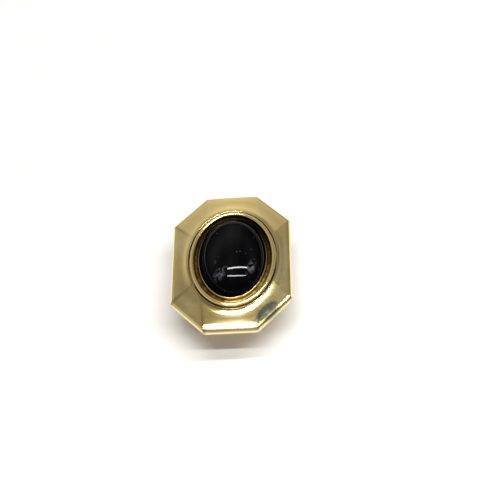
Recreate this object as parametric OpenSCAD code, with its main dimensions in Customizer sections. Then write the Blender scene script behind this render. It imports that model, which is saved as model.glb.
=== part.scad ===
// Octagonal tie tack with an oval black cabochon and a ball-lock clutch.
//
// Frame: +Z is the face of the pin, +Y is the top of the pin as worn, +X is to the right.
// The origin is on the post's axis, in the plane of the pin's back, where the cloth lies.
// Lengths are in millimetres.

/* [Octagon frame] */
// Width of the octagon, across its two long sides
frame_w = 32; // [20:0.5:40]
// Height of the octagon, between its top and bottom sides
frame_h = 43; // [26:0.5:54]
// Length that each 45 degree corner takes off a side
corner_cut = 9; // [4:0.5:12]
// Height of the turned-down edge, from the back plane
skirt_h = 1; // [0.6:0.05:2]
// Sheet thickness at the turned-down edge
sheet_t = 0.6; // [0.3:0.05:1]
// Half width of the oval collar that the sheet curves up to
collar_a = 12.2; // [8:0.1:14]
// Half height of the oval collar
collar_b = 15.7; // [10:0.1:18]
// Height of the collar's lip above the back plane
collar_z = 2.84; // [2:0.05:4]
// Share of the bottom side's turned-down width that the other sides have
edge_share = 0.4; // [0.2:0.05:1]
// How far the oval setting sits to the right of the octagon's centre
setting_shift = 0.5; // [0:0.1:1]

/* [Setting] */
// Half width of the line along the top of the bead ring
bead_a = 10.95; // [7:0.05:13]
// Half height of the line along the top of the bead ring
bead_b = 14.45; // [9:0.05:17]
// Radius of the bead's rounded section
bead_r = 0.6; // [0.3:0.05:1]
// Height of the centre of the bead's section
bead_z = 2.85; // [2:0.05:4]
// Height of the pressed-over edge of the bezel
bezel_z = 3.3; // [2.5:0.05:5]

/* [Stone] */
// Half width of the stone at its girdle
stone_a = 8.95; // [5:0.05:12]
// Half height of the stone at its girdle
stone_b = 12.45; // [6:0.05:16]
// Height of the stone's flat base
stone_base_z = 1.7; // [1:0.05:3]
// Height of the top of the dome
stone_top_z = 7.8; // [4:0.1:10]

/* [Back and post] */
// Thickness of the back plate
plate_t = 0.6; // [0.3:0.05:1]
// Radius of the round pad that carries the post
pad_r = 3; // [2:0.1:4]
// Radius of the post's thicker root, which the cloth sits on
post_root_r = 0.6; // [0.4:0.05:0.8]
// Length of the root below the back plane
post_root_l = 2.8; // [1:0.1:4]
// Radius of the rest of the post
post_r = 0.55; // [0.4:0.05:0.75]
// Length of the taper from the root to the rest of the post
post_taper_l = 0.6; // [0.55:0.05:1]
// Radius of the post's riveted neck, inside the pad
post_neck_r = 0.85; // [0.8:0.05:1]
// Length of the post below the back plane
post_l = 9; // [7:0.5:12]

/* [Clutch] */
// Gap for cloth between the pin's back and the clutch
cloth_gap = 3; // [2:0.1:5]
// Outer radius of the clutch's flange
clutch_r = 5.4; // [4:0.1:7]
// Half angle of the lock cone, in degrees
cone_angle = 18; // [12:1:25]
// Radius of each lock ball
ball_r = 0.5; // [0.3:0.05:0.8]
// Depth of the balls behind the clutch's front face
ball_depth = 2; // [1.5:0.1:3]
// Clearance between a ball and what it locks against
ball_gap = 0.02; // [0.01:0.01:0.05]
// Number of turns in the return spring
spring_turns = 4.5; // [3:0.5:7]
// Radius of the spring's wire
spring_wire_r = 0.1; // [0.05:0.01:0.2]

/* [Hidden] */
gold = [0.86, 0.71, 0.36];
gold_dark = [0.62, 0.48, 0.20];
steel = [0.72, 0.72, 0.72];
onyx = [0.03, 0.03, 0.04];
card = [0.25, 0.20, 0.15];

$fn = 96;
eps = 0.01;
half_w = frame_w / 2;
half_h = frame_h / 2;
// change of the corner cut when the outline moves in by 1
cut_rate = 2 - sqrt(2);
// points along each side of the octagon, starting at the right side
side_steps = [10, 6, 14, 6, 10, 6, 14, 6];
// where each crease meets the oval, as the oval's own angle
crease_at = [-29, 29, 46.5, 133.5, 151, 209, 226.5, 313.5, 331];
// points round each oval piece
oval_n = 80;

cone_z = -cloth_gap;
ball_ring_r = post_r + ball_gap + ball_r;
cone_at_ball = ball_ring_r + (ball_r + ball_gap) / cos(cone_angle);

function mix(a, b, t) = a * (1 - t) + b * t;

// ---- outlines ----

// the octagon's eight corners, moved in by g
function corners(g) =
    let (x = half_w - g, y = half_h - g, c = corner_cut - cut_rate * g)
    [
        [x, c - y], [x, y - c], [x - c, y], [c - x, y],
        [-x, y - c], [-x, c - y], [c - x, -y], [x - c, -y]
    ];

// how wide the turned-down edge is at place s of side k: widest in the middle of the bottom side
function edge_width(k, s) =
    k == 6 ? mix(edge_share, 1, pow(max(0, sin(180 * s)), 0.7)) : edge_share;

// w with its turned-down part, up to 0.38, narrowed to share v
function narrowed(w, v) =
    w < 0.38 ? w * v : 0.38 * v + (w - 0.38) * (1 - 0.38 * v) / 0.62;

// one ring of the frame: w goes from the octagon (0) to the oval (1)
function frame_ring(g, w, e, z) =
    let (c = corners(g))
    [
        for (k = [0:7])
            for (j = [0:side_steps[k] - 1])
                let (s = j / side_steps[k])
                let (o = mix(c[k], c[(k + 1) % 8], s))
                let (t = mix(crease_at[k], crease_at[k + 1], s))
                let (p = [setting_shift + (collar_a + e) * cos(t), (collar_b + e) * sin(t)])
                let (q = mix(o, p, narrowed(w, edge_width(k, s))))
                [q[0], q[1], z]
    ];

// one ring of an oval piece; e grows it by the same amount all round
function oval_ring(a, b, e, z) = [
    for (i = [0:oval_n - 1])
        let (t = 360 * i / oval_n)
        [setting_shift + (a + e) * cos(t), (b + e) * sin(t), z]
];

// ---- solids from rings ----

function band_faces(m0, m1, n) = [
    for (j = [0:n - 1])
        let (k = (j + 1) % n)
        each [
            [m0 * n + j, m1 * n + j, m1 * n + k],
            [m0 * n + j, m1 * n + k, m0 * n + k]
        ]
];

// rings joined in a closed loop, as in a bent tube or a pressed ring
module loop_solid(rings) {
    n = len(rings[0]);
    m = len(rings);
    points = [for (r = rings) each r];
    faces = [for (i = [0:m - 1]) each band_faces(i, (i + 1) % m, n)];
    polyhedron(points = points, faces = faces, convexity = 8);
}

// rings stacked from the middle of the underside to the middle of the top
module stack_solid(rings) {
    n = len(rings[0]);
    m = len(rings);
    points = [for (r = rings) each r];
    sides = [for (i = [0:m - 2]) each band_faces(i, i + 1, n)];
    first = [for (j = [0:n - 1]) j];
    last = [for (j = [n - 1:-1:0]) (m - 1) * n + j];
    polyhedron(points = points, faces = concat(sides, [first], [last]), convexity = 8);
}

module oval_plate(a, b, z0, z1) {
    translate([0, 0, z0])
        linear_extrude(z1 - z0)
            polygon([for (p = oval_ring(a, b, 0, 0)) [p[0], p[1]]]);
}

module octagon_plate(g, z0, z1) {
    translate([0, 0, z0])
        linear_extrude(z1 - z0)
            polygon(corners(g));
}

// turned part of the clutch: a profile of [radius, depth behind the front face]
module turned(profile) {
    rotate_extrude($fn = 96)
        polygon([for (p = profile) [p[0], cone_z - p[1]]]);
}

// ---- head ----

// pressed sheet: straight skirt, facets that turn down at the edge, cove, collar
module octagon_frame() {
    profile = [
        // moved in, octagon to oval, oval grown, height
        [0, 0, 0, 0],
        [0, 0, 0, skirt_h],
        [0, 0.018, 0, skirt_h + 0.13],
        [0, 0.052, 0, skirt_h + 0.29],
        [0, 0.103, 0, skirt_h + 0.46],
        [0, 0.172, 0, skirt_h + 0.64],
        [0, 0.241, 0, skirt_h + 0.78],
        [0, 0.31, 0, skirt_h + 0.88],
        [0, 0.38, 0, skirt_h + 0.96],
        [0, 0.5, 0, skirt_h + 1.06],
        [0, 0.655, 0, skirt_h + 1.15],
        [0, 0.776, 0, skirt_h + 1.25],
        [0, 0.845, 0, skirt_h + 1.35],
        [0, 0.897, 0, skirt_h + 1.45],
        [0, 0.948, 0, skirt_h + 1.58],
        [0, 1, 0, collar_z - 0.08],
        [0, 1, -0.1, collar_z],
        [0, 1, -0.2, collar_z - 0.02],
        [0, 1, -0.3, collar_z - 0.14],
        [0, 1, -0.3, skirt_h + 1.05],
        [sheet_t, 0.88, 0, skirt_h + 0.92],
        [sheet_t, 0.72, 0, skirt_h + 0.76],
        [sheet_t, 0.5, 0, skirt_h + 0.62],
        [sheet_t, 0.25, 0, skirt_h + 0.38],
        [sheet_t, 0.07, 0, skirt_h + 0.05],
        [sheet_t, 0, 0, plate_t],
        [sheet_t, 0, 0, 0]
    ];
    color(gold)
        loop_solid([for (p = profile) frame_ring(p[0], p[1], p[2], p[3])]);
}

// flat octagon that closes the back, with a hole for the post's pad
module back_plate() {
    color(gold)
        difference() {
            octagon_plate(sheet_t, 0, plate_t);
            translate([0, 0, -1])
                cylinder(r = pad_r, h = plate_t + 2);
        }
}

// oval ring of half-round wire
module bead_ring() {
    arc = [for (a = [-30:24:210]) a];
    color(gold)
        loop_solid([
            for (a = arc)
                oval_ring(bead_a, bead_b, bead_r * cos(a), bead_z + bead_r * sin(a))
        ]);
}

// dished oval channel between the bezel and the bead, with a leg down to the plate
module gallery_ring() {
    top = bead_z - bead_r / 2;
    profile = [
        // grown from the bead's line, height
        [0.1, plate_t],
        [0.55, plate_t],
        [0.55, top],
        [-0.55, top],
        [-0.8, top - 0.27],
        [-1.1, top - 0.35],
        [-1.4, top - 0.27],
        [-1.63, top - 0.1],
        [-1.63, top - 0.65],
        [0.1, top - 0.65]
    ];
    color(gold_dark)
        loop_solid([for (p = profile) oval_ring(bead_a, bead_b, p[0], p[1])]);
}

// oval cup; its top edge is pressed over the stone
module stone_bezel() {
    profile = [
        // grown from the stone's girdle, height
        [-0.25, 0.9],
        [-0.25, plate_t],
        [0.35, plate_t],
        [0.35, bezel_z - 0.55],
        [0.28, bezel_z - 0.2],
        [0.14, bezel_z - 0.02],
        [0, bezel_z],
        [-0.14, bezel_z - 0.02],
        [-0.24, bezel_z - 0.1],
        [-0.11, bezel_z - 0.5],
        [-0.03, bezel_z - 0.9],
        [0.03, bezel_z - 1.4],
        [0.03, 1.2]
    ];
    color(gold)
        stack_solid([for (p = profile) oval_ring(stone_a, stone_b, p[0], p[1])]);
}

// step inside the bezel that holds up the stone's edge
module stone_seat() {
    color(gold_dark)
        difference() {
            oval_plate(stone_a + 0.01, stone_b + 0.01, 1.2, stone_base_z);
            oval_plate(stone_a - 1.2, stone_b - 1.2, 1, stone_base_z + 1);
        }
}

// thin card pad under the middle of the stone
module stone_cushion() {
    color(card)
        oval_plate(stone_a - 1.25, stone_b - 1.25, 1.2, stone_base_z - 0.02);
}

// domed oval stone with a flat base
module onyx_cabochon() {
    girdle_z = stone_base_z + 0.1;
    rise = stone_top_z - girdle_z;
    steps = [0, 8, 16, 25, 34, 43, 52, 61, 69, 76, 82, 87];
    color(onyx)
        stack_solid(concat(
            [oval_ring(stone_a, stone_b, -0.1, stone_base_z)],
            [
                for (s = steps)
                    oval_ring(stone_a * cos(s), stone_b * cos(s), 0, girdle_z + rise * sin(s))
            ]
        ));
}

// round pad soldered into the back plate
module post_pad() {
    color(gold)
        difference() {
            cylinder(r = pad_r, h = plate_t);
            translate([0, 0, -1])
                cylinder(r = post_neck_r, h = plate_t + 2);
        }
}

// sharp post with two locking grooves near its tip and a riveted head
module tack_post() {
    color(gold)
        rotate_extrude($fn = 96)
            polygon([
                [0, -post_l],
                [0.06, -post_l],
                [0.36, -post_l + 1.1],
                [post_r, -post_l + 1.5],
                [post_r, -post_l + 1.75],
                [post_r - 0.14, -post_l + 1.85],
                [post_r - 0.14, -post_l + 2.05],
                [post_r, -post_l + 2.15],
                [post_r, -post_l + 2.75],
                [post_r - 0.14, -post_l + 2.85],
                [post_r - 0.14, -post_l + 3.05],
                [post_r, -post_l + 3.15],
                [post_r, -post_root_l - post_taper_l],
                [post_root_r, -post_root_l],
                [post_root_r, 0],
                [post_neck_r, 0],
                [post_neck_r, plate_t],
                [1.2, plate_t],
                [1.1, plate_t + 0.2],
                [0, plate_t + 0.25]
            ]);
}

// ---- clutch ----

// flat disc that presses on the cloth
module clutch_base() {
    color(gold)
        turned([
            [0.75, 0.1], [0.85, 0], [4.5, 0], [4.96, 0.4], [4.96, 0.8], [0.75, 0.8]
        ]);
}

// drawn can with a rolled front lip, a shoulder and a neck
module clutch_shell() {
    color(gold)
        turned([
            [4.55, 0.05], [4.75, -0.06], [5.1, 0], [5.32, 0.16], [5.4, 0.4],
            [5.4, 1.3], [5.28, 1.55], [4.9, 1.75], [4.1, 2.05], [3.6, 2.5],
            [3.35, 3.1], [3.25, 3.8], [3.2, 5.1], [3.1, 5.55], [2.8, 5.8],
            [2.4, 5.9], [1.3, 5.9], [1.3, 5.52], [2.3, 5.52], [2.6, 5.4],
            [2.78, 5.1], [2.86, 3.8], [2.96, 3.05], [3.2, 2.35], [3.8, 1.75],
            [4.7, 1.42], [4.97, 1.2], [4.97, 0.4]
        ]);
}

// hardened cone that wedges the balls against the post
module lock_cone() {
    r0 = cone_at_ball + (0.82 - ball_depth) * tan(cone_angle);
    r1 = cone_at_ball + (3.8 - ball_depth) * tan(cone_angle);
    color(steel)
        turned([
            [r0, 0.82], [4.9, 0.82], [4.9, 1.2], [2.3, 1.2], [2.4, 1.6],
            [r1 + 0.5, 3.8], [r1, 3.8]
        ]);
}

// plain washer between the spring and the can
module spring_washer() {
    color(steel)
        turned([[1.25, 5.2], [2.2, 5.2], [2.2, 5.5], [1.25, 5.5]]);
}

// hollow stem with three ball windows and a collar for the spring
module ball_cage() {
    color(gold_dark)
        difference() {
            turned([
                [0.65, 1], [1.1, 1], [1.15, 1.05], [1.15, 2.9], [1.75, 2.9],
                [1.75, 3.2], [1.15, 3.2], [1.15, 7.5], [0.65, 7.5]
            ]);
            for (k = [0:2])
                rotate([0, 0, 90 + 120 * k])
                    translate([0, 0, cone_z - ball_depth])
                        rotate([0, 90, 0])
                            cylinder(r = ball_r + 0.03, h = 3, $fn = 48);
        }
}

// one steel ball in its window
module lock_ball(k) {
    color(steel)
        rotate([0, 0, 90 + 120 * k])
            translate([ball_ring_r, 0, cone_z - ball_depth])
                sphere(r = ball_r, $fn = 48);
}

module lock_ball_1() {
    lock_ball(0);
}

module lock_ball_2() {
    lock_ball(1);
}

module lock_ball_3() {
    lock_ball(2);
}

// coil spring with a flat turn at each end
module return_spring() {
    z0 = cone_z - 3.2 - spring_wire_r - 0.02;
    z1 = cone_z - 5.2 + spring_wire_r + 0.02;
    turn_n = 20;
    count = spring_turns * turn_n;
    coil_r = 1.42;
    sides = 8;
    rings = [
        for (i = [0:count])
            let (turn = i / turn_n)
            let (s = min(1, max(0, (turn - 0.6) / (spring_turns - 1.2))))
            let (z = mix(z0, z1, s))
            let (a = 360 * turn)
            [
                for (j = [0:sides - 1])
                    let (b = 360 * j / sides)
                    let (r = coil_r + spring_wire_r * cos(b))
                    [r * cos(a), r * sin(a), z - spring_wire_r * sin(b)]
            ]
    ];
    color(steel)
        stack_solid(rings);
}

// knob that pulls the balls back from the cone
module pull_knob() {
    color(gold)
        difference() {
            turned([
                [1.15, 6.15], [2.3, 6.15], [2.5, 6.3], [2.6, 6.75], [3.3, 6.95],
                [3.6, 7.15], [3.6, 7.65], [3.4, 7.85], [2.6, 8.05], [1.4, 8.2],
                [0, 8.25], [0, 7.65], [0.7, 7.65], [0.7, 7.5], [1.15, 7.5]
            ]);
            for (k = [0:23])
                rotate([0, 0, 15 * k])
                    translate([3.68, 0, cone_z - 8.3])
                        cylinder(r = 0.16, h = 1.5, $fn = 16);
        }
}

octagon_frame();
back_plate();
bead_ring();
gallery_ring();
stone_bezel();
stone_seat();
stone_cushion();
onyx_cabochon();
post_pad();
tack_post();
clutch_base();
clutch_shell();
lock_cone();
spring_washer();
return_spring();
ball_cage();
pull_knob();
lock_ball_1();
lock_ball_2();
lock_ball_3();
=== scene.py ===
"""Looks for the octagonal tie tack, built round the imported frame.

Shapes are worked out in millimetres in the row's own frame and scaled to metres when a mesh is made.
Sizes come from the CAD nodes' boxes; the profiles repeat the CAD's sections with their edges softened.
"""

import math

import bmesh
import bpy
import numpy as np
from mathutils import Matrix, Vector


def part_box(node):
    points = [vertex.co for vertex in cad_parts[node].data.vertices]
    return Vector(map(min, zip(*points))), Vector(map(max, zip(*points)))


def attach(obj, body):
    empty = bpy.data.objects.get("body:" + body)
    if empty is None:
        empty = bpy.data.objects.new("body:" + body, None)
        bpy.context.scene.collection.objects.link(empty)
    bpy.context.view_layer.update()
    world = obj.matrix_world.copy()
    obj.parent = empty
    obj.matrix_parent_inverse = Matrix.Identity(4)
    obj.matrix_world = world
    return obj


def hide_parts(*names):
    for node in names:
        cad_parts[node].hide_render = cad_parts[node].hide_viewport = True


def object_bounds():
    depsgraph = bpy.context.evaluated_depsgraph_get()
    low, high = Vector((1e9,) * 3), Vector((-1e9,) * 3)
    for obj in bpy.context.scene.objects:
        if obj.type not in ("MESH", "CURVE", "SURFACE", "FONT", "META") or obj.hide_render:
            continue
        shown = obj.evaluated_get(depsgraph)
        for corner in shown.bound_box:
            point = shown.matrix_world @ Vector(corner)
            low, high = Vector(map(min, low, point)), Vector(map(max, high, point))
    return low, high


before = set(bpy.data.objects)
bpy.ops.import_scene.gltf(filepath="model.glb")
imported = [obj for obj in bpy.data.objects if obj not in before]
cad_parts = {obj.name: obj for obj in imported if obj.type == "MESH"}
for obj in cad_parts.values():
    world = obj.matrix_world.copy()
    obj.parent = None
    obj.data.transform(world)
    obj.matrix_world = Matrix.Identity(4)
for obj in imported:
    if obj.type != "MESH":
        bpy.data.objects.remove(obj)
cad_lo, cad_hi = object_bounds()

MM = 0.001


# ---------------------------------------------------------------- measures from the CAD nodes


def box_mm(node):
    lo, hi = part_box(node)
    return np.array(lo) / MM, np.array(hi) / MM


frame_hi = box_mm("octagon_frame")[1]
stone_lo, stone_hi = box_mm("onyx_cabochon")
bead_lo, bead_hi = box_mm("bead_ring")
gallery_lo = box_mm("gallery_ring")[0]
bezel_hi = box_mm("stone_bezel")[1]
plate_hi = box_mm("back_plate")[1]
pad_hi = box_mm("post_pad")[1]
post_lo = box_mm("tack_post")[0]
disc_hi = box_mm("clutch_base")[1]

HALF_W, HALF_H, LIP_Z = frame_hi
CORNER_CUT = 9.0  # what each 45 degree corner takes off a side
SKIRT_H = 1.0  # height of the turned-down edge
SHEET_T = 0.6
CENTRE_X = (stone_lo[0] + stone_hi[0]) / 2  # the setting sits a little right of centre
STONE_A = (stone_hi[0] - stone_lo[0]) / 2
STONE_B = (stone_hi[1] - stone_lo[1]) / 2
BEAD_R = 0.6
BEAD_A = (bead_hi[0] - bead_lo[0]) / 2 - BEAD_R
BEAD_B = (bead_hi[1] - bead_lo[1]) / 2 - BEAD_R
BEAD_Z = bead_hi[2] - BEAD_R
COLLAR_A, COLLAR_B = 12.2, 15.7
BEZEL_Z = bezel_hi[2]
PLATE_T = plate_hi[2]
FRONT_Z = disc_hi[2]  # front face of the clutch


# ---------------------------------------------------------------- curves and meshes


def rounded(points, radius, closed=True, steps=4):
    """The polyline with each corner cut back by up to radius and rounded."""
    p = np.array([q[:2] for q in points], float)
    n = len(p)
    radii = [q[2] if len(q) > 2 else radius for q in points]
    out = []
    for i in range(n):
        if not closed and i in (0, n - 1) or radii[i] == 0:
            out.append(p[i])
            continue
        a, b = p[i - 1] - p[i], p[(i + 1) % n] - p[i]
        la, lb = np.linalg.norm(a), np.linalg.norm(b)
        cut = min(radii[i], 0.45 * la, 0.45 * lb)
        start, end = p[i] + a / la * cut, p[i] + b / lb * cut
        for s in np.linspace(0, 1, steps + 1):
            out.append((1 - s) ** 2 * start + 2 * s * (1 - s) * p[i] + s * s * end)
    return np.array(out)


def smooth_curve(points, count):
    """A monotone cubic through the points, evenly spaced by chord length."""
    p = np.array(points, float)
    t = np.r_[0, np.cumsum(np.sqrt((np.diff(p, axis=0) ** 2).sum(1)))]
    u = np.linspace(0, t[-1], count)
    out = []
    for y in p.T:
        h, d = np.diff(t), np.diff(y) / np.diff(t)
        m = np.zeros(len(y))
        for i in range(1, len(y) - 1):
            if d[i - 1] * d[i] > 0:
                w1, w2 = 2 * h[i] + h[i - 1], h[i] + 2 * h[i - 1]
                m[i] = (w1 + w2) / (w1 / d[i - 1] + w2 / d[i])
        m[0], m[-1] = d[0], d[-1]
        k = np.clip(np.searchsorted(t, u, side="right") - 1, 0, len(h) - 1)
        s = (u - t[k]) / h[k]
        out.append(
            (2 * s**3 - 3 * s**2 + 1) * y[k]
            + (s**3 - 2 * s**2 + s) * h[k] * m[k]
            + (-2 * s**3 + 3 * s**2) * y[k + 1]
            + (s**3 - s**2) * h[k] * m[k + 1]
        )
    return np.stack(out, 1)


def make_piece(name, rings, closed, sharp=35.0, values=None):
    """A mesh from rings of points in mm: closed joins the last ring to the first, otherwise both ends are capped.

    values holds attributes, one number for each ring or for each point.
    """
    rings = np.asarray(rings, float)
    m, n = rings.shape[:2]
    faces = []
    for i in range(m if closed else m - 1):
        a, b = i * n, (i + 1) % m * n
        for j in range(n):
            k = (j + 1) % n
            faces.append((a + j, b + j, b + k, a + k))
    if not closed:
        faces.append(tuple(range(n)))
        faces.append(tuple(range((m - 1) * n, m * n)))
    mesh = bpy.data.meshes.new(name)
    mesh.from_pydata((rings.reshape(-1, 3) * MM).tolist(), [], faces)
    for key, per_ring in (values or {}).items():
        layer = mesh.attributes.new(key, "FLOAT", "POINT")
        per_ring = np.asarray(per_ring, np.float32)
        layer.data.foreach_set("value", per_ring.ravel() if per_ring.ndim == 2 else np.repeat(per_ring, n))
    made = bmesh.new()
    made.from_mesh(mesh)
    bmesh.ops.remove_doubles(made, verts=made.verts, dist=2e-7)
    bmesh.ops.dissolve_degenerate(made, edges=made.edges, dist=1e-8)
    bmesh.ops.recalc_face_normals(made, faces=made.faces)
    made.to_mesh(mesh)
    made.free()
    mesh.polygons.foreach_set("use_smooth", [True] * len(mesh.polygons))
    mesh.set_sharp_from_angle(angle=math.radians(sharp))
    piece = bpy.data.objects.new(name, mesh)
    bpy.context.scene.collection.objects.link(piece)
    return piece


OVAL_T = np.linspace(0, 2 * np.pi, 360, endpoint=False)


def oval(a, b, e, z):
    return np.stack(
        [CENTRE_X + (a + e) * np.cos(OVAL_T), (b + e) * np.sin(OVAL_T), np.full(len(OVAL_T), z)], 1
    )


def turned_piece(name, profile, closed=True, around=144, sharp=35.0):
    """A turned piece of the clutch, from a profile of radius and depth behind its front face."""
    t = np.linspace(0, 2 * np.pi, around, endpoint=False)
    rings = [np.stack([r * np.cos(t), r * np.sin(t), np.full(around, FRONT_Z - d)], 1) for r, d in profile]
    return make_piece(name, rings, closed, sharp)


# ---------------------------------------------------------------- the pressed octagon

SIDE_STEPS = (34, 22, 44, 22, 34, 22, 44, 22)
CREASE_AT = np.radians([-29, 29, 46.5, 133.5, 151, 209, 226.5, 313.5, 331])
EDGE_R = 0.32  # radius of the octagon's upright corners
NEAR_CORNER = (0.0, 0.03, 0.06, 0.095, 0.133, 0.2, 0.3)


def corners(g):
    x, y = HALF_W - g, HALF_H - g
    c = CORNER_CUT - (2 - math.sqrt(2)) * g
    return np.array(
        [(x, c - y), (x, y - c), (x - c, y), (c - x, y), (-x, y - c), (-x, c - y), (c - x, -y), (x - c, -y)]
    )


def outline_places():
    """(side, place along it from 0 to 1) for every point round the octagon."""
    full = corners(0)
    places = []
    for k, steps in enumerate(SIDE_STEPS):
        length = np.linalg.norm(full[(k + 1) % 8] - full[k])
        u = np.linspace(0, 1, steps + 1)
        s = set(np.round(0.5 * u + 0.5 * (0.5 - 0.5 * np.cos(np.pi * u)), 6))
        s = {v for v in s if 0.35 < v * length < length - 0.35}
        s |= {d / length for d in NEAR_CORNER} | {1 - d / length for d in NEAR_CORNER[1:]}
        places += [(k, v) for v in sorted(s)]
    return places


PLACES = outline_places()


def octagon_ring(g):
    """The octagon moved in by g, with its corners rounded."""
    c = corners(g)
    back = EDGE_R * math.tan(math.radians(22.5))
    out = []
    for k, s in PLACES:
        a, b = c[k], c[(k + 1) % 8]
        length = np.linalg.norm(b - a)
        along = (b - a) / length
        normal = np.array([along[1], -along[0]])
        near = min(s, 1 - s) * length
        if near >= back:
            out.append(a + (b - a) * s)
            continue
        at, towards = (a, -along) if s < 0.5 else (b, along)
        turn = math.radians(22.5) * (back - near) / back
        centre = at - towards * back - normal * EDGE_R
        out.append(centre + EDGE_R * (math.cos(turn) * normal + math.sin(turn) * towards))
    return np.array(out)


OVAL_ANGLE = np.array([CREASE_AT[k] + (CREASE_AT[k + 1] - CREASE_AT[k]) * s for k, s in PLACES])


# the turned-down edge is widest in the middle of the bottom side
BOTTOM_SIDE = 6
EDGE_SHARE = 0.4  # its width elsewhere, as a share of that
EDGE_END = 0.38  # share of the way to the oval that the widest edge reaches
EDGE_WIDTH = np.array(
    [
        EDGE_SHARE + (1 - EDGE_SHARE) * max(0.0, math.sin(math.pi * s)) ** 0.7 if k == BOTTOM_SIDE else EDGE_SHARE
        for k, s in PLACES
    ]
)


# painted shade lies along the creases, strongest at the lower corners
CREASE_SHADE_LEVEL = (0.2, 0.15, 0.1, 0.15, 0.8, 0.9, 1.0, 0.25)
CREASE_REACH = 0.45  # mm from a crease to where its painted shade has faded to a third
FACET_OUTER = (25.0, 12.7, 14.0, 12.7, 25.0, 12.7, 14.0, 12.7)  # length of each facet at the octagon, mm
FACET_INNER = 8.0  # and at the oval


def crease_shade_at(w):
    """How much painted shade each point gets: strongest on the eight lines from the corners to the oval."""
    near_oval = 0.25 + 0.75 * min(1.0, (1 - w) / 0.5)
    out = []
    for k, s in PLACES:
        length = (FACET_OUTER[k] * (1 - w) + FACET_INNER * w) / CREASE_REACH
        start = CREASE_SHADE_LEVEL[k] * math.exp(-((s * length) ** 2))
        end = CREASE_SHADE_LEVEL[(k + 1) % 8] * math.exp(-(((1 - s) * length) ** 2))
        out.append(near_oval * max(start, end))
    return out


def frame_ring(g, w, e, z):
    o = octagon_ring(g)
    p = np.stack([CENTRE_X + (COLLAR_A + e) * np.cos(OVAL_ANGLE), (COLLAR_B + e) * np.sin(OVAL_ANGLE)], 1)
    v = EDGE_END * EDGE_WIDTH
    w = (w * EDGE_WIDTH if w < EDGE_END else v + (w - EDGE_END) * (1 - v) / (1 - EDGE_END))[:, None]
    q = (1 - w) * o + w * p
    return np.c_[q, np.full(len(q), z)]


# share of the way from the octagon to the oval, and height
TOP = [
    (0, SKIRT_H - 0.3), (0, SKIRT_H), (0.018, SKIRT_H + 0.13), (0.052, SKIRT_H + 0.29), (0.103, SKIRT_H + 0.46),
    (0.172, SKIRT_H + 0.64), (0.241, SKIRT_H + 0.78), (0.31, SKIRT_H + 0.88), (0.38, SKIRT_H + 0.96),
    (0.5, SKIRT_H + 1.06), (0.655, SKIRT_H + 1.15), (0.776, SKIRT_H + 1.25), (0.845, SKIRT_H + 1.35),
    (0.897, SKIRT_H + 1.45), (0.948, SKIRT_H + 1.58), (1, LIP_Z - 0.08),
]
LIP = [(-0.03, -0.045), (-0.06, -0.02), (-0.1, 0), (-0.15, -0.003), (-0.2, -0.02), (-0.25, -0.065), (-0.285, -0.11)]
UNDER = [
    (0.88, SKIRT_H + 0.92), (0.72, SKIRT_H + 0.76), (0.5, SKIRT_H + 0.62), (0.25, SKIRT_H + 0.38),
    (0.07, SKIRT_H + 0.05), (0, PLATE_T + 0.02),
]


def build_frame():
    rings, wear_and_sheen, recess_shade, crease_shade = [], [], [], []

    def add(g, w, e, z, pale_edge=0.0, shade=0.0):
        rings.append(frame_ring(g, w, e, z))
        wear_and_sheen.append(pale_edge)
        recess_shade.append(shade)
        crease_shade.append(crease_shade_at(w))

    add(0.03, 0, 0, 0)
    # the turned-down edge, the outer rounding and the lip are made paler: partly rubbed wear, partly painted
    # highlight
    add(0, 0, 0, 0.03, pale_edge=0.5)
    scale = np.array([5.0, 1.0])  # mm of width and height, so that steps are even along the sheet
    for w, z in smooth_curve(np.array(TOP) * scale, 110) / scale:
        add(0, w, 0, z, pale_edge=max(0.0, 1 - abs(w - 0.02) / 0.05), shade=max(0.0, (w - 0.9) / 0.1) ** 2)
    for e, drop in LIP:
        add(0, 1, e, LIP_Z + drop, pale_edge=0.2, shade=min(1.0, -4 * e))
    for z in np.linspace(LIP_Z - 0.16, SKIRT_H + 1.05, 6):
        add(0, 1, -0.3, z, shade=1.0)
    for w, z in UNDER:
        add(SHEET_T, w, 0, z, shade=1.0)
    add(SHEET_T, 0, 0, 0.03)
    add(SHEET_T - 0.03, 0, 0, 0)
    # painted shade in the groove and under the sheet: none at the top, darkest at the bottom
    recess_shade = np.array(recess_shade)[:, None] * np.clip(0.55 - 0.6 * np.sin(OVAL_ANGLE), 0, 1)[None, :]
    return make_piece(
        "pressed_octagon_sheet", rings, True, sharp=50, values={"wear_and_sheen": wear_and_sheen, "recess_shade": recess_shade, "crease_shade": crease_shade}
    )


# ---------------------------------------------------------------- the setting and the stone


def build_bead():
    section, recess_shade = [], []
    for a in np.linspace(-30, 210, 37):
        t = math.radians(a)
        section.append(oval(BEAD_A, BEAD_B, BEAD_R * math.cos(t), BEAD_Z + BEAD_R * math.sin(t)))
        # painted shade on the bead's lower flank
        recess_shade.append(max(0.0, 0.5 - math.sin(t)) / 1.0)
    return make_piece("rounded_bead_rim", section, True, values={"recess_shade": recess_shade})


def build_gallery():
    top = BEAD_Z - BEAD_R / 2
    leg_z = gallery_lo[2]
    profile = [
        (0.1, leg_z, 0), (0.55, leg_z, 0.03), (0.55, top, 0), (-0.55, top, 0.02), (-0.8, top - 0.27, 0.2),
        (-1.1, top - 0.35, 0.3), (-1.4, top - 0.27, 0.2), (-1.63, top - 0.1, 0.03), (-1.63, top - 0.65, 0),
        (0.1, top - 0.65, 0.05),
    ]
    rings = [oval(BEAD_A, BEAD_B, e, z) for e, z in rounded(profile, 0.05, steps=6)]
    # painted shade, darkest at the top and on the right, lightest at the lower left
    gallery_shade = np.clip(0.5 + 0.75 * np.sin(OVAL_T + math.radians(-25)) + 0.35 * np.cos(OVAL_T), 0, 1)
    return make_piece("dished_gallery_channel", rings, True, values={"gallery_shade": [gallery_shade] * len(rings)})


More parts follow.
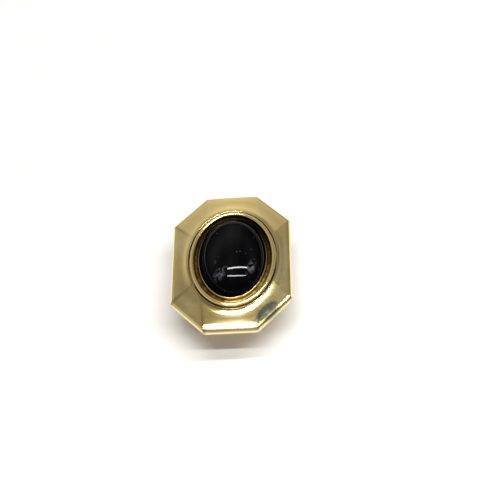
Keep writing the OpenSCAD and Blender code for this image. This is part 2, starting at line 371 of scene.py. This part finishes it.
def build_bezel():
    profile = [
        (-0.25, 0.9, 0), (-0.25, PLATE_T, 0), (0.35, PLATE_T, 0.03), (0.35, BEZEL_Z - 0.55, 0.2),
        (0.28, BEZEL_Z - 0.2, 0.12), (0.14, BEZEL_Z - 0.02, 0.08), (0, BEZEL_Z, 0.05), (-0.14, BEZEL_Z - 0.02, 0.05),
        (-0.24, BEZEL_Z - 0.1, 0.03), (-0.11, BEZEL_Z - 0.5, 0.1), (-0.03, BEZEL_Z - 0.9, 0.2),
        (0.03, BEZEL_Z - 1.4, 0.2), (0.03, 1.2, 0.05), (-0.6, 1.2, 0),
    ]
    section = rounded(profile, 0.05, closed=False, steps=5)
    rings = [oval(STONE_A, STONE_B, e, z) for e, z in section]
    # painted dark reflection: the cup stays bright gold only on its outer edge
    dark_reflection_and_shade = [min(1.0, max(0.0, (0.16 - e) / 0.14)) if z > BEZEL_Z - 0.6 else 0.8 for e, z in section]
    # painted shade over the whole cup on its upper side, fading out just below the middle
    dark_reflection_and_shade = np.maximum(np.array(dark_reflection_and_shade)[:, None], np.clip(0.2 + 1.3 * np.sin(OVAL_T), 0, 1)[None, :])
    return make_piece("pressed_bezel_cup", rings, False, values={"dark_reflection_and_shade": dark_reflection_and_shade})


def build_stone():
    base, top = stone_lo[2], stone_hi[2]
    girdle = base + 0.1
    # the CAD's last ring, at 87 degrees, is its flat top
    rise = (top - girdle) / math.sin(math.radians(87))
    rings = [oval(STONE_A, STONE_B, -0.1, base), oval(STONE_A, STONE_B, -0.03, base + 0.04)]
    for s in np.linspace(0, 89.2, 90):
        t = math.radians(s)
        z = min(girdle + rise * math.sin(t), top)
        rings.append(
            np.stack(
                [
                    CENTRE_X + STONE_A * math.cos(t) * np.cos(OVAL_T),
                    STONE_B * math.cos(t) * np.sin(OVAL_T),
                    np.full(len(OVAL_T), z),
                ],
                1,
            )
        )
    return make_piece("domed_black_stone", rings, False, sharp=60)


# ---------------------------------------------------------------- the back


def build_plate():
    """Octagon with softened edges; its round hole is cut by joining each outline to a circle."""
    pad_r = pad_hi[0]
    flat = octagon_ring(SHEET_T)
    around = np.arctan2(flat[:, 1], flat[:, 0])
    hole = np.stack([np.cos(around), np.sin(around)], 1)
    rings = []
    section = [
        ("out", -0.06, 0.0), ("out", 0.0, 0.06), ("out", 0.0, PLATE_T - 0.06), ("out", -0.06, PLATE_T),
        ("in", 0.06, PLATE_T), ("in", 0.0, PLATE_T - 0.05), ("in", 0.0, 0.04), ("in", 0.04, 0.0),
    ]
    for side, grow, z in section:
        if side == "out":
            p = flat * (1 + grow / np.linalg.norm(flat, axis=1))[:, None]
        else:
            p = hole * (pad_r + grow)
        rings.append(np.c_[p, np.full(len(p), z)])
        if side == "out" and z == PLATE_T:
            across = hole * (pad_r + 0.06)
        elif side == "in" and z == 0.0:
            across = flat * (1 - 0.06 / np.linalg.norm(flat, axis=1))[:, None]
        else:
            continue
        for s in np.linspace(0, 1, 14)[1:-1]:
            rings.append(np.c_[p * (1 - s) + across * s, np.full(len(p), z)])
    return make_piece("flat_back_cover", rings, True, sharp=30)


def ring_about_post(name, profile, around=128, radius=0.03):
    """A turned piece on the post's axis, from a profile of radius and height."""
    t = np.linspace(0, 2 * np.pi, around, endpoint=False)
    rings = [np.stack([r * np.cos(t), r * np.sin(t), np.full(around, z)], 1) for r, z in rounded(profile, radius)]
    return make_piece(name, rings, True)


def build_pad():
    r, t = pad_hi[0], pad_hi[2]
    return ring_about_post(
        "round_post_pad",
        [(0.85, 0, 0), (2.2, 0, 0.1), (2.35, 0.05, 0.1), (2.5, 0, 0.1), (r, 0, 0.06), (r, t, 0.05), (0.85, t, 0)],
    )


def build_post():
    tip = post_lo[2]
    root = -2.8
    shaft, thick, groove, neck = 0.55, 0.6, 0.41, 0.85
    profile = [(0, tip, 0), (0.06, tip, 0.03), (0.36, tip + 1.1, 0.5), (shaft, tip + 1.5, 0.2)]
    for low in (tip + 1.75, tip + 2.75):
        profile += [(shaft, low, 0.05), (groove, low + 0.1, 0.05), (groove, low + 0.3, 0.05),
        (shaft, low + 0.4, 0.05)]
    profile += [(shaft, root - 0.6, 0.1), (thick, root, 0.1), (thick, 0, 0.02), (neck, 0, 0.03)]
    profile += [(neck, PLATE_T, 0.02), (1.2, PLATE_T, 0.05)]
    profile += [(1.1, PLATE_T + 0.2, 0.1), (0, PLATE_T + 0.25, 0)]
    t = np.linspace(0, 2 * np.pi, 64, endpoint=False)
    section = rounded(profile, 0.03, closed=False)
    rings = [np.stack([r * np.cos(t), r * np.sin(t), np.full(64, z)], 1) for r, z in section]
    return make_piece("sharp_grooved_post", rings, False)


# ---------------------------------------------------------------- the clutch


def build_disc():
    return turned_piece(
        "clutch_front_disc",
        rounded(
            [
                (0.75, 0.1, 0.04), (0.85, 0, 0.06), (2.2, 0, 0.1), (2.35, 0.06, 0.1), (2.5, 0, 0.1), (4.5, 0, 0.2),
                (4.96, 0.4, 0.1), (4.96, 0.8, 0), (0.75, 0.8, 0),
            ],
            0.05,
        ),
    )


def build_can():
    return turned_piece(
        "drawn_clutch_can",
        rounded(
            [
                (4.55, 0.05), (4.75, -0.06), (5.1, 0), (5.32, 0.16), (5.4, 0.4), (5.4, 1.3), (5.28, 1.55),
                (4.9, 1.75), (4.1, 2.05), (3.6, 2.5), (3.35, 3.1), (3.25, 3.8), (3.2, 5.1), (3.1, 5.55),
                (2.8, 5.8), (2.4, 5.9), (1.3, 5.9, 0.05), (1.3, 5.52, 0.02), (2.3, 5.52), (2.6, 5.4), (2.78, 5.1),
                (2.86, 3.8), (2.96, 3.05), (3.2, 2.35), (3.8, 1.75), (4.7, 1.42), (4.97, 1.2, 0.05), (4.97, 0.4),
            ],
            0.4,
            steps=5,
        ),
    )


def build_knob():
    """The turned knob, with grooves cut across the edge of its flange."""
    count, per, cut = 24, 14, 0.12
    profile = rounded(
        [
            (1.15, 6.15, 0.02), (2.3, 6.15), (2.5, 6.3), (2.6, 6.75), (3.3, 6.95), (3.6, 7.15, 0.15),
            (3.6, 7.65, 0.15), (3.4, 7.85), (2.6, 8.05), (1.4, 8.2), (0, 8.25, 0), (0, 7.65, 0), (0.7, 7.65, 0.02),
            (0.7, 7.5, 0.02), (1.15, 7.5, 0),
        ],
        0.12,
    )
    t = np.arange(count * per) * 2 * np.pi / (count * per)
    phase = (np.arange(count * per) % per) / per
    groove = np.clip(np.cos(2 * np.pi * phase), 0, 1) ** 1.5
    rings = []
    for r, d in profile:
        depth = cut * np.clip((r - 3.3) / 0.3, 0, 1)
        radius = r - depth * groove
        rings.append(np.stack([radius * np.cos(t), radius * np.sin(t), np.full(len(t), FRONT_Z - d)], 1))
    return make_piece("grooved_pull_knob", rings, True, sharp=40)


# ---------------------------------------------------------------- materials


class Nodes:
    """Short ways to add and join the nodes of one material."""

    def __init__(self, name):
        self.material = bpy.data.materials.new(name)
        self.material.use_nodes = True
        self.tree = self.material.node_tree
        self.shader = self.tree.nodes["Principled BSDF"]
        self.place = self.add("ShaderNodeTexCoord").outputs["Object"]

    def add(self, kind, **settings):
        node = self.tree.nodes.new(kind)
        for key, value in settings.items():
            setattr(node, key, value)
        return node

    def join(self, source, target):
        self.tree.links.new(source, target)

    def noise(self, scale, detail=3.0, rough=0.5, distortion=0.0, place=None):
        node = self.add("ShaderNodeTexNoise")
        node.inputs["Scale"].default_value = scale
        node.inputs["Detail"].default_value = detail
        node.inputs["Roughness"].default_value = rough
        node.inputs["Distortion"].default_value = distortion
        self.join(place or self.place, node.inputs["Vector"])
        return node.outputs["Fac"]

    def spread(self, value, a0, a1, b0, b1):
        node = self.add("ShaderNodeMapRange")
        for key, number in zip(("From Min", "From Max", "To Min", "To Max"), (a0, a1, b0, b1)):
            node.inputs[key].default_value = number
        self.join(value, node.inputs["Value"])
        return node.outputs["Result"]

    def maths(self, kind, a, b):
        node = self.add("ShaderNodeMath", operation=kind)
        for socket, value in zip(node.inputs, (a, b)):
            if isinstance(value, (int, float)):
                socket.default_value = value
            else:
                self.join(value, socket)
        return node.outputs[0]

    def ramp(self, value, stops):
        node = self.add("ShaderNodeValToRGB")
        while len(node.color_ramp.elements) < len(stops):
            node.color_ramp.elements.new(0.5)
        for element, (at, colour) in zip(node.color_ramp.elements, stops):
            element.position = at
            element.color = (*colour, 1)
        self.join(value, node.inputs["Fac"])
        return node.outputs["Color"]

    def blend(self, fac, a, b):
        node = self.add("ShaderNodeMix", data_type="RGBA")
        self.join(fac, node.inputs[0])
        for socket, value in ((node.inputs[6], a), (node.inputs[7], b)):
            if isinstance(value, tuple):
                socket.default_value = (*value, 1)
            else:
                self.join(value, socket)
        return node.outputs[2]

    def attribute(self, name):
        return self.add("ShaderNodeAttribute", attribute_name=name).outputs["Fac"]

    def patch(self, centre, turn, half, soft=0.5):
        """1 inside an ellipsoid about centre (mm), fading to 0 at its surface."""
        node = self.add("ShaderNodeMapping", vector_type="TEXTURE")
        node.inputs["Location"].default_value = [c * MM for c in centre]
        node.inputs["Rotation"].default_value = (0, 0, math.radians(turn))
        node.inputs["Scale"].default_value = [h * MM for h in half]
        self.join(self.place, node.inputs["Vector"])
        length = self.add("ShaderNodeVectorMath", operation="LENGTH")
        self.join(node.outputs[0], length.inputs[0])
        return self.spread(length.outputs["Value"], 1.0, 1.0 - soft, 0.0, 1.0)

    def bump(self, height, strength, distance):
        node = self.add("ShaderNodeBump")
        node.inputs["Strength"].default_value = strength
        node.inputs["Distance"].default_value = distance
        self.join(height, node.inputs["Height"])
        return node.outputs["Normal"]

    def put(self, key, value):
        socket = self.shader.inputs[key]
        if hasattr(value, "is_output") or hasattr(value, "links"):
            self.join(value, socket)
        else:
            socket.default_value = value


def polished_gold():
    """Bright plated gold: soft blotches, fine scratches, painted shade in the recesses and creases, paler edges that
    are partly wear and partly painted highlight, and one painted dark reflection on a facet.
    """
    n = Nodes("polished_gold_plate")
    cloud = n.noise(110, 3, 0.55)
    fine = n.noise(1500, 6, 0.6)
    colour = n.ramp(cloud, [(0.3, (0.90, 0.68, 0.27)), (0.5, (0.94, 0.74, 0.32)), (0.72, (0.92, 0.76, 0.38))])
    # painted shade: darkens the groove, the sheet's underside and the bead's lower flank, most at the bottom
    colour = n.blend(n.maths("MULTIPLY", n.attribute("recess_shade"), 0.95), colour, (0.16, 0.08, 0.02))
    # paler edges: partly rubbed wear, partly painted highlight
    colour = n.blend(n.maths("MULTIPLY", n.attribute("wear_and_sheen"), 0.6), colour, (0.97, 0.90, 0.70))
    # painted shade along the creases
    colour = n.blend(n.maths("MULTIPLY", n.attribute("crease_shade"), 0.5), colour, (0.16, 0.13, 0.06))
    # painted dark reflection and shade on the bezel cup
    colour = n.blend(n.attribute("dark_reflection_and_shade"), colour, (0.012, 0.008, 0.004))
    # a painted dark reflection on the lower right facet, also rougher there
    reflected_patch = n.maths(
        "MULTIPLY", n.patch(REFLECTED_PATCH_AT, 45, REFLECTED_PATCH_HALF, 0.4), n.spread(n.noise(700, 5, 0.65), 0.3, 0.5, 0.75, 1.0)
    )
    colour = n.blend(reflected_patch, colour, (0.10, 0.105, 0.08))
    n.put("Base Color", colour)
    n.put("Metallic", 1.0)
    rough = n.spread(cloud, 0.3, 0.75, 0.13, 0.21)
    rough = n.maths("ADD", rough, n.spread(fine, 0.3, 0.7, -0.02, 0.04))
    rough = n.maths("ADD", rough, n.maths("MULTIPLY", reflected_patch, 0.16))
    n.put("Roughness", rough)
    scratch_place = n.add("ShaderNodeMapping")
    scratch_place.inputs["Rotation"].default_value = (0, 0, 0.6)
    scratch_place.inputs["Scale"].default_value = (1, 14, 1)
    n.join(n.place, scratch_place.inputs["Vector"])
    scratch = n.noise(400, 4, 0.7, place=scratch_place.outputs[0])
    height = n.maths("ADD", n.maths("MULTIPLY", scratch, 0.35), n.maths("MULTIPLY", n.noise(160, 2, 0.5), 3.0))
    n.put("Normal", n.bump(height, 0.25, 0.00003))
    return n.material


def dark_gold():
    """Tarnished, finely pitted gold of the parts polishing doesn't reach."""
    n = Nodes("tarnished_gold")
    spots = n.noise(1400, 5, 0.7)
    broad = n.noise(260, 3, 0.5)
    mixed = n.maths("ADD", n.maths("MULTIPLY", spots, 0.65), n.maths("MULTIPLY", broad, 0.35))
    colour = n.ramp(mixed, [(0.36, (0.025, 0.010, 0.003)), (0.5, (0.13, 0.075, 0.02)), (0.64, (0.42, 0.28, 0.09))])
    # painted shade: the gallery goes nearly black where its attribute is high
    n.put("Base Color", n.blend(n.attribute("gallery_shade"), colour, (0.010, 0.006, 0.003)))
    n.put("Metallic", 1.0)
    n.put("Roughness", n.spread(spots, 0.3, 0.7, 0.5, 0.26))
    n.put("Normal", n.bump(spots, 0.6, 0.00008))
    return n.material


def turned_gold(name, light, dark, rough, rings_per_mm=9.0):
    """Gold wash over turned brass: fine rings about the post's axis and soft handling marks."""
    n = Nodes(name)
    cloud = n.noise(230, 4, 0.6)
    n.put("Base Color", n.ramp(cloud, [(0.3, dark), (0.62, light)]))
    n.put("Metallic", 1.0)
    wave = n.add("ShaderNodeTexWave", wave_type="RINGS", rings_direction="Z")
    wave.inputs["Scale"].default_value = rings_per_mm / MM / 20
    wave.inputs["Distortion"].default_value = 0.4
    wave.inputs["Detail"].default_value = 2.0
    n.join(n.place, wave.inputs["Vector"])
    n.put("Roughness", n.spread(n.maths("ADD", cloud, n.noise(2600, 3, 0.6)), 0.6, 1.4, rough, rough + 0.12))
    height = n.maths("ADD", n.maths("MULTIPLY", wave.outputs["Fac"], 0.5), n.noise(1900, 4, 0.6))
    n.put("Normal", n.bump(height, 0.22, 0.00003))
    return n.material


def black_stone():
    """Polished onyx: nearly black, with faint pale wisps low on the dome and a few bright specks."""
    n = Nodes("polished_onyx")
    wisp = n.spread(n.noise(620, 7, 0.72, 0.8), 0.47, 0.72, 0.0, 1.0)
    cover = None
    for centre, turn, half in WISPS:
        one = n.patch(centre, turn, half, 0.8)
        cover = one if cover is None else n.maths("MAXIMUM", cover, one)
    veil = n.maths("MULTIPLY", n.maths("MULTIPLY", wisp, cover), 0.6)
    depth = n.ramp(n.noise(150, 3, 0.5), [(0.35, (0.0004, 0.0004, 0.0006)), (0.7, (0.0012, 0.0013, 0.002))])
    colour = n.blend(veil, depth, (0.36, 0.37, 0.42))
    specks = n.add("ShaderNodeTexVoronoi")
    specks.inputs["Scale"].default_value = 420
    n.join(n.place, specks.inputs["Vector"])
    colour = n.blend(n.spread(specks.outputs["Distance"], 0.055, 0.03, 0.0, 0.28), colour, (0.45, 0.46, 0.5))
    # a ground band round the foot of the dome, with a painted reflection: a fine pale line along its upper edge,
    # fainter on the near side
    where = n.add("ShaderNodeMapping", vector_type="TEXTURE")
    where.inputs["Location"].default_value = [c * MM for c in BAND_AT]
    where.inputs["Scale"].default_value = [h * MM for h in BAND_HALF]
    n.join(n.place, where.inputs["Vector"])
    flat = n.add("ShaderNodeVectorMath", operation="MULTIPLY")
    flat.inputs[1].default_value = (1, 1, 0)
    n.join(where.outputs[0], flat.inputs[0])
    reach = n.add("ShaderNodeVectorMath", operation="LENGTH")
    n.join(flat.outputs[0], reach.inputs[0])
    reach = reach.outputs["Value"]
    reflected_line = n.maths("MULTIPLY", n.spread(reach, 0.975, 0.998, 0.0, 1.0), n.spread(reach, 1.015, 1.002, 0.0, 1.0))
    axes = n.add("ShaderNodeSeparateXYZ")
    n.join(n.place, axes.inputs[0])
    reflected_line = n.maths("MULTIPLY", reflected_line, n.spread(axes.outputs["Y"], -0.009, -0.001, 0.12, 1.0))
    # painted reflection: the fine pale line
    colour = n.blend(reflected_line, colour, (0.034, 0.040, 0.060))
    n.put("Base Color", colour)
    n.put("Roughness", n.spread(n.noise(900, 4, 0.6), 0.3, 0.75, 0.025, 0.06))
    n.put("IOR", 1.5)
    # less shine near the foot and on the upper half
    foot = n.spread(reach, 0.6, 1.0, 0.19, 0.014)
    shine = n.maths("MULTIPLY", foot, n.spread(axes.outputs["Y"], -0.002, 0.005, 1.0, 0.5))
    n.put("Specular IOR Level", shine)
    n.put("Normal", n.bump(n.noise(240, 2, 0.5), 0.05, 0.00003))
    return n.material


def bright_steel():
    n = Nodes("bright_steel")
    grain = n.noise(3200, 4, 0.6)
    n.put("Base Color", n.ramp(n.noise(600, 3), [(0.3, (0.50, 0.50, 0.49)), (0.7, (0.68, 0.68, 0.67))]))
    n.put("Metallic", 1.0)
    n.put("Roughness", n.spread(grain, 0.3, 0.7, 0.18, 0.34))
    n.put("Normal", n.bump(grain, 0.2, 0.00002))
    return n.material


def pad_card():
    n = Nodes("grey_card")
    fibre = n.noise(2600, 6, 0.7, 0.6)
    n.put("Base Color", n.ramp(fibre, [(0.3, (0.16, 0.12, 0.09)), (0.7, (0.32, 0.26, 0.20))]))
    n.put("Roughness", n.spread(fibre, 0.2, 0.8, 0.8, 0.95))
    n.put("Normal", n.bump(fibre, 0.5, 0.0001))
    return n.material


def pale_floor():
    n = Nodes("pale_floor")
    n.put("Base Color", n.ramp(n.noise(60, 4), [(0.3, (0.78, 0.78, 0.775)), (0.7, (0.82, 0.82, 0.815))]))
    n.put("Roughness", n.spread(n.noise(900, 3), 0.3, 0.7, 0.7, 0.85))
    n.put("Normal", n.bump(n.noise(1200, 3), 0.1, 0.0001))
    return n.material


# where the painted dark reflection lies on the lower right facet, in mm
REFLECTED_PATCH_AT = (9.5, -16.3, 1.9)
REFLECTED_PATCH_HALF = (5.2, 2.4, 3.5)
# the stone's inner oval, whose edge carries the painted reflected line
BAND_AT = (1.1, -0.6, 0.0)
BAND_HALF = (7.75, 10.9, 1.0)
# centre, turn and half sizes in mm of the two patches of pale wisps on the stone
WISPS = [
    ((-2.3, -6.9, 6.3), 35, (2.8, 1.7, 3.0)),
    ((5.8, -5.0, 5.9), 65, (3.0, 1.2, 3.0)),
    ((-3.0, -3.0, 6.6), 50, (1.5, 0.6, 3.0)),
]

gold = polished_gold()
tarnished = dark_gold()
back_gold = turned_gold("satin_back_gold", (0.86, 0.67, 0.32), (0.72, 0.52, 0.20), 0.28)
clutch_gold = turned_gold("clutch_gold_wash", (0.90, 0.70, 0.32), (0.78, 0.57, 0.22), 0.17)
onyx = black_stone()
steel = bright_steel()
card = pad_card()

# ---------------------------------------------------------------- pieces on their bodies

PIECES = [
    (build_frame, gold, "head", "octagon_frame", "polished_gold"),
    (build_bead, gold, "head", "bead_ring", "polished_gold"),
    (build_gallery, tarnished, "head", "gallery_ring", "dark_gold"),
    (build_bezel, gold, "head", "stone_bezel", "polished_gold"),
    (build_stone, onyx, "head", "onyx_cabochon", "onyx"),
    (build_plate, back_gold, "head", "back_plate", "back_gold"),
    (build_pad, back_gold, "head", "post_pad", "back_gold"),
    (build_post, back_gold, "head", "tack_post", "back_gold"),
    (build_disc, clutch_gold, "housing", "clutch_base", "clutch_gold"),
    (build_can, clutch_gold, "housing", "clutch_shell", "clutch_gold"),
    (build_knob, clutch_gold, "plunger", "pull_knob", "clutch_gold"),
]
for build, material, body, node, slot in PIECES:
    piece = build()
    piece.data.materials.append(material)
    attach(piece, body)
    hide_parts(node)

KEPT = {
    "stone_seat": tarnished,
    "stone_cushion": card,
    "lock_cone": steel,
    "spring_washer": steel,
    "return_spring": steel,
    "ball_cage": tarnished,
    "lock_ball_1": steel,
    "lock_ball_2": steel,
    "lock_ball_3": steel,
}
for node, material in KEPT.items():
    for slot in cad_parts[node].material_slots:
        slot.material = material

# ---------------------------------------------------------------- floor, light and camera

FLOOR_HALF = 0.45
floor_mesh = bpy.data.meshes.new("pale_floor")
floor_mesh.from_pydata(
    [(x * FLOOR_HALF, y * FLOOR_HALF, cad_lo.z) for x, y in ((-1, -1), (1, -1), (1, 1), (-1, 1))], [], [(0, 1, 2, 3)]
)
floor = bpy.data.objects.new("pale_floor", floor_mesh)
bpy.context.scene.collection.objects.link(floor)
floor.data.materials.append(pale_floor())


def tube_light(name, x0, y0, x1, y1, height, width, radiance):
    """A long narrow lamp overhead, from one place to another."""
    length = math.hypot(x1 - x0, y1 - y0)
    light = bpy.data.lights.new(name, "AREA")
    light.shape = "RECTANGLE"
    light.size = length
    light.size_y = width
    light.energy = radiance * math.pi * length * width
    light.color = (1.0, 0.985, 0.95)
    lamp = bpy.data.objects.new(name, light)
    lamp.location = ((x0 + x1) / 2, (y0 + y1) / 2, height)
    lamp.rotation_euler = (0, 0, math.atan2(y1 - y0, x1 - x0))
    bpy.context.scene.collection.objects.link(lamp)


tube_light("tube_far", -0.235, 0.062, 0.8, 0.109, 1.0, 0.038, 58)
tube_light("tube_near", -0.26, -0.178, 0.8, -0.221, 1.0, 0.038, 58)

world = bpy.data.worlds.new("studio")
bpy.context.scene.world = world
world.use_nodes = True
w_tree = world.node_tree
w_place = w_tree.nodes.new("ShaderNodeTexCoord")
w_axes = w_tree.nodes.new("ShaderNodeSeparateXYZ")
w_tree.links.new(w_place.outputs["Generated"], w_axes.inputs[0])


def w_range(value, a0, a1, b0, b1):
    node = w_tree.nodes.new("ShaderNodeMapRange")
    for key, number in zip(("From Min", "From Max", "To Min", "To Max"), (a0, a1, b0, b1)):
        node.inputs[key].default_value = number
    w_tree.links.new(value, node.inputs["Value"])
    return node.outputs["Result"]


def w_ramp(value, stops):
    node = w_tree.nodes.new("ShaderNodeValToRGB")
    while len(node.color_ramp.elements) < len(stops):
        node.color_ramp.elements.new(0.5)
    for element, (at, level) in zip(node.color_ramp.elements, stops):
        element.position = at
        element.color = (level, level * 0.985, level * 0.99, 1)
    node.color_ramp.interpolation = "EASE"
    w_tree.links.new(value, node.inputs["Fac"])
    return node.outputs["Color"]


height = w_range(w_axes.outputs["Z"], -1, 1, 0, 1)
# level of the room by height, behind the pin and in front of it
far_side = w_ramp(
    height,
    [(0.4, 0.2), (0.53, 0.34), (0.62, 0.58), (0.79, 0.82), (0.85, 0.62), (0.9, 0.36), (0.94, 0.28), (1.0, 0.33)],
)
near_side = w_ramp(height, [(0.4, 0.9), (0.7, 0.85), (0.82, 0.45), (0.94, 0.24), (1.0, 0.24)])
both = w_tree.nodes.new("ShaderNodeMix")
both.data_type = "RGBA"
w_tree.links.new(w_range(w_axes.outputs["Y"], -0.15, 0.15, 0, 1), both.inputs[0])
w_tree.links.new(near_side, both.inputs[6])
w_tree.links.new(far_side, both.inputs[7])
sky = w_tree.nodes["Background"]
w_tree.links.new(both.outputs[2], sky.inputs["Color"])
# brightest a little left of the middle, dimmer to the left and dimmest to the right
w_tree.links.new(
    w_ramp(
        w_range(w_axes.outputs["X"], -0.6, 0.6, 0, 1),
        [(0, 0.7), (0.25, 0.78), (0.42, 1.12), (0.58, 0.85), (0.75, 0.4), (1, 0.36)],
    ),
    sky.inputs["Strength"],
)

# Camera: seen from in front and above, turned a little clockwise
AZIMUTH, ELEVATION, ROLL = math.radians(8.508), math.radians(54.758), math.radians(-10.166)
DISTANCE, ASIDE, ABOVE = 276.746, -2.184, -6.493
back = np.array(
    [math.sin(AZIMUTH) * math.cos(ELEVATION), -math.cos(AZIMUTH) * math.cos(ELEVATION), math.sin(ELEVATION)]
)
level = np.array([math.cos(AZIMUTH), math.sin(AZIMUTH), 0])
upright = np.cross(back, level)
right = level * math.cos(ROLL) + upright * math.sin(ROLL)
up = -level * math.sin(ROLL) + upright * math.cos(ROLL)
where = (-ASIDE * right - ABOVE * up + DISTANCE * back) * MM
lens = bpy.data.cameras.new("camera")
lens.sensor_width = 36
lens.lens = 77.349
lens.clip_start, lens.clip_end = 0.01, 10
camera = bpy.data.objects.new("camera", lens)
camera.matrix_world = Matrix(
    [[right[i], up[i], back[i], where[i]] for i in range(3)] + [[0, 0, 0, 1]]
)
bpy.context.scene.collection.objects.link(camera)
bpy.context.scene.camera = camera
bpy.context.scene.view_settings.view_transform = "Standard"
